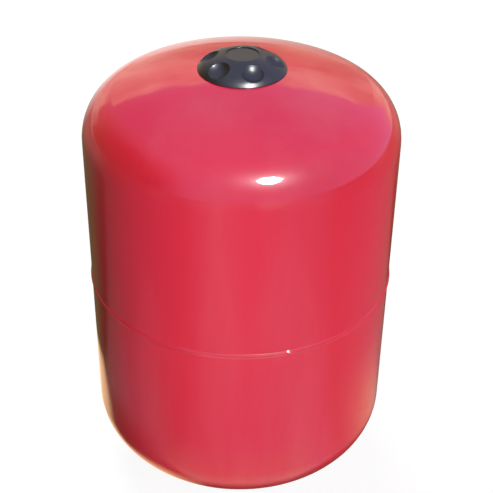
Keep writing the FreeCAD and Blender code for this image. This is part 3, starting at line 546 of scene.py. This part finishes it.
def ground_colours(tree, where):
    """Painted reflection of the ground by direction and distance: bright sunlit ground in front, painted
    shade beside and behind, and a painted shadow of the tank beneath it.
    """
    direction, distance = level_direction(tree, where)
    sunny = spread(tree, dot_with(tree, direction, (0.259, -0.966, 0)), -1, 1)
    in_front = dot_with(tree, direction, (0, -1, 0))
    to_right = dot_with(tree, direction, (1, 0, 0))
    ground = ramp(tree, sunny, [
        (0.0, (0.12, 0.10, 0.05)), (1.0, (0.62, 0.60, 0.75)), (0.12, (0.14, 0.12, 0.05)),
        (0.23, (0.05, 0.04, 0.02)), (0.28, (0.18, 0.15, 0.11)), (0.6, (0.28, 0.25, 0.27)),
        (0.83, (0.38, 0.35, 0.30)), (0.92, (0.62, 0.60, 0.70)), (0.96, (0.68, 0.67, 0.82))])
    far = ramp(tree, sunny, [
        (0.0, (0.30, 0.25, 0.15)), (1.0, (0.62, 0.60, 0.68)), (0.2, (0.40, 0.34, 0.25)),
        (0.33, (0.26, 0.21, 0.08)), (0.8, (0.45, 0.42, 0.38)), (0.94, (0.95, 0.95, 1.10))])
    horizon = blend_colours(tree, spread(tree, to_right, -0.3, 0.3),
                            (1.30, 1.20, 1.10), (0.34, 0.28, 0.21))
    far = blend_colours(tree, spread(tree, in_front, -0.8, -0.97), far, horizon)
    ground = blend_colours(tree, spread(tree, distance, 0.6, 1.6), ground, far)

    # Strips close to the tank in the painted reflection: in front, at the right, a painted shadow
    # beneath it and at the left
    near_front = combine(tree, "MULTIPLY", spread(tree, distance, 0.22, 0.27, 1, 0),
                         spread(tree, in_front, 0.7, 0.87))
    ground = blend_colours(tree, near_front, ground, (0.95, 0.95, 0.75))
    near_right = combine(tree, "MULTIPLY", spread(tree, distance, 0.24, 0.34, 1, 0),
                         spread(tree, to_right, 0.90, 1.0))
    ground = blend_colours(tree, near_right, ground, (0.66, 0.50, 0.34))
    further_out = combine(tree, "ADD", spread(tree, to_right, 0.5, 0.85, 0, 0.03),
                          spread(tree, to_right, -0.4, -0.8, 0, 0.09))
    # Painted shadow of the tank on the mirrored ground right beneath it.
    beneath = spread(tree, combine(tree, "SUBTRACT", distance, further_out), 0.13, 0.17, 1, 0)
    ground = blend_colours(tree, beneath, ground, (0.10, 0.06, 0.03))
    reach = combine(tree, "SUBTRACT", distance, spread(tree, in_front, 0.3, -0.35, 0, 0.10))
    near_left = combine(tree, "MULTIPLY", spread(tree, reach, 0.143, 0.172, 1, 0),
                        spread(tree, to_right, -0.3, -0.7))
    return blend_colours(tree, near_left, ground, (1.35, 0.82, 0.45))


def ground_card():
    """Painted reflection: a glowing card for what the gloss paint mirrors from below; the eye and the
    lamps don't meet it.
    """
    finish, tree, surface = studio_finish("ground_reflection")
    where = tree.nodes.new("ShaderNodeTexCoord").outputs["Object"]
    glow = tree.nodes.new("ShaderNodeEmission")
    tree.links.new(ground_colours(tree, where), glow.inputs["Color"])
    tree.links.new(glow.outputs[0], surface)
    blank = bmesh.new()
    for radius in (0.03, 8):
        bmesh.ops.create_circle(blank, cap_ends=False, radius=radius, segments=96,
                                matrix=Matrix.Translation((0, 0, 0.003)))
    bmesh.ops.bridge_loops(blank, edges=blank.edges[:])
    card = flat_stage_piece("ground_card", blank, finish)
    card.visible_camera = False
    card.visible_diffuse = False
    card.visible_shadow = False
    return card


def lamp(name, azimuth, elevation, distance, size, level, height=0.25, only_mirrored=False):
    """A soft lamp, round or upright, that lights a white surface facing it to the given level."""
    data = bpy.data.lights.new(name, "AREA")
    if isinstance(size, tuple):
        data.shape = "RECTANGLE"
        data.size, data.size_y = size
    else:
        data.shape = "DISK"
        data.size = size
    data.energy = level * math.pi ** 2 * distance ** 2
    light = bpy.data.objects.new(name, data)
    bpy.context.scene.collection.objects.link(light)
    turn, rise = math.radians(azimuth), math.radians(elevation)
    away = Vector((math.sin(turn) * math.cos(rise), -math.cos(turn) * math.cos(rise), math.sin(rise)))
    light.location = Vector((0, 0, height)) + away * distance
    light.rotation_euler = away.to_track_quat("Z", "Y").to_euler()
    light.visible_glossy = only_mirrored
    light.visible_diffuse = not only_mirrored
    light.visible_camera = False
    return light


def mirrored_sky(tree, where):
    """Sky by direction, cool in front and overhead and brown at the far left, with how far the
    direction points right and up."""
    parts = tree.nodes.new("ShaderNodeSeparateXYZ")
    tree.links.new(where, parts.inputs[0])
    right, back, rise = parts.outputs
    sky = ramp(tree, spread(tree, right, -0.9, 0.8), [
        (0.0, (0.42, 0.30, 0.05)), (1.0, (0.60, 0.58, 1.10)), (0.135, (0.45, 0.36, 0.20)),
        (0.265, (0.36, 0.33, 0.60)), (0.36, (0.52, 0.53, 0.95)), (0.53, (0.62, 0.65, 1.15)),
        (0.735, (0.68, 0.70, 1.30))])
    sky = blend_colours(tree, spread(tree, back, 0, 0.75, 1, 0), sky, (0.95, 1.0, 1.60))
    sky = blend_colours(tree, spread(tree, right, -0.55, -0.85), sky, (0.30, 0.22, 0.03))
    return sky, right, rise


def mirrored_surroundings(tree, where):
    """The sky with a lit, mottled wall behind the tank, its top edge ragged."""
    sky, right, rise = mirrored_sky(tree, where)
    behind = dot_with(tree, level_direction(tree, where)[0], (0, 1, 0))
    patches = grain(tree, where, 5.5, 5, 0.6)
    wall = ramp(tree, spread(tree, rise, 0, 0.6), [
        (0.0, (0.58, 0.47, 0.32)), (1.0, (1.20, 1.10, 0.95)), (0.25, (0.46, 0.37, 0.24)),
        (0.43, (0.62, 0.54, 0.38)), (0.6, (0.95, 0.82, 0.64)), (0.77, (1.40, 1.25, 1.05))])
    to_side = combine(tree, "ADD", behind, spread(tree, right, -0.25, 0, -0.05, 0))
    low_sides = combine(tree, "MULTIPLY", spread(tree, to_side, 0.975, 0.92),
                        spread(tree, rise, 0.25, 0.45, 1, 0))
    wall = blend_colours(tree, low_sides, wall, (0.95, 0.80, 0.62))
    mottled = tree.nodes.new("ShaderNodeVectorMath")
    mottled.operation = "SCALE"
    tree.links.new(wall, mottled.inputs[0])
    tree.links.new(spread(tree, patches, 0.3, 0.7, 0.55, 1.45), mottled.inputs["Scale"])
    edge = combine(tree, "ADD", spread(tree, behind, 0.80, 0.86, 0.15, 0.42),
                   spread(tree, behind, 0.86, 1.0, 0, 0.18))
    edge = combine(tree, "ADD", edge, spread(tree, patches, 0.3, 0.7, -0.05, 0.05))
    in_wall = combine(tree, "MULTIPLY", spread(tree, combine(tree, "SUBTRACT", edge, rise), -0.01, 0.01),
                      spread(tree, behind, 0.66, 0.76))
    return blend_colours(tree, in_wall, sky, mottled.outputs[0])


def studio_world():
    """White to the eye and dim where it lights the tank; only gloss mirrors the surroundings."""
    world = bpy.data.worlds.new("studio_world")
    bpy.context.scene.world = world
    world.use_nodes = True
    tree = world.node_tree
    where = tree.nodes.new("ShaderNodeTexCoord").outputs["Generated"]
    mirrored = tree.nodes["Background"]
    tree.links.new(mirrored_surroundings(tree, where), mirrored.inputs["Color"])
    light = tree.nodes.new("ShaderNodeBackground")
    light.inputs["Color"].default_value = (1, 1, 1, 1)
    rays = tree.nodes.new("ShaderNodeLightPath").outputs
    eye = combine(tree, "MAXIMUM", rays["Is Camera Ray"], rays["Is Transmission Ray"])
    tree.links.new(spread(tree, eye, 0, 1, 0.02, 1), light.inputs["Strength"])
    choose = tree.nodes.new("ShaderNodeMixShader")
    tree.links.new(rays["Is Glossy Ray"], choose.inputs["Fac"])
    tree.links.new(light.outputs[0], choose.inputs[1])
    tree.links.new(mirrored.outputs[0], choose.inputs[2])
    tree.links.new(choose.outputs[0], tree.nodes["World Output"].inputs["Surface"])
    return world


def photo_camera():
    """Camera at the photograph's angle."""
    data = bpy.data.cameras.new("photo_camera")
    data.sensor_width = 36
    data.lens = 36 * CAMERA_FOCAL_SHARE
    data.shift_x = CAMERA_SHIFT
    data.clip_start, data.clip_end = 0.01, 50
    camera = bpy.data.objects.new("photo_camera", data)
    bpy.context.scene.collection.objects.link(camera)
    camera.matrix_world = (Matrix.Translation(CAMERA_PLACE)
                           @ Matrix.Rotation(math.pi / 2 - CAMERA_TILT, 4, "X")
                           @ Matrix.Rotation(CAMERA_ROLL, 4, "Z"))
    bpy.context.scene.camera = camera
    return camera


pale_floor()
ground_card()
lamp("key_disc", 22, 44, 2.5, 0.55, 0.20)
lamp("key_glint", 22, 44, 2.3, 0.506, 2.4, only_mirrored=True)
lamp("front_fill", 20, 0, 1.6, 0.5, 0.57, 0.2)
lamp("left_strip", -15, 0, 0.32, (0.12, 0.76), 0.35, 0.42)
lamp("right_fill", 108, 0, 2.2, 0.9, 1.04, 0.12)
lamp("back_fill", -160, 8, 2.2, 1.0, 0.22)
lamp("top_fill", -150, 65, 2.2, 1.2, 0.91)
studio_world()
photo_camera()
bpy.context.scene.view_settings.view_transform = "Standard"
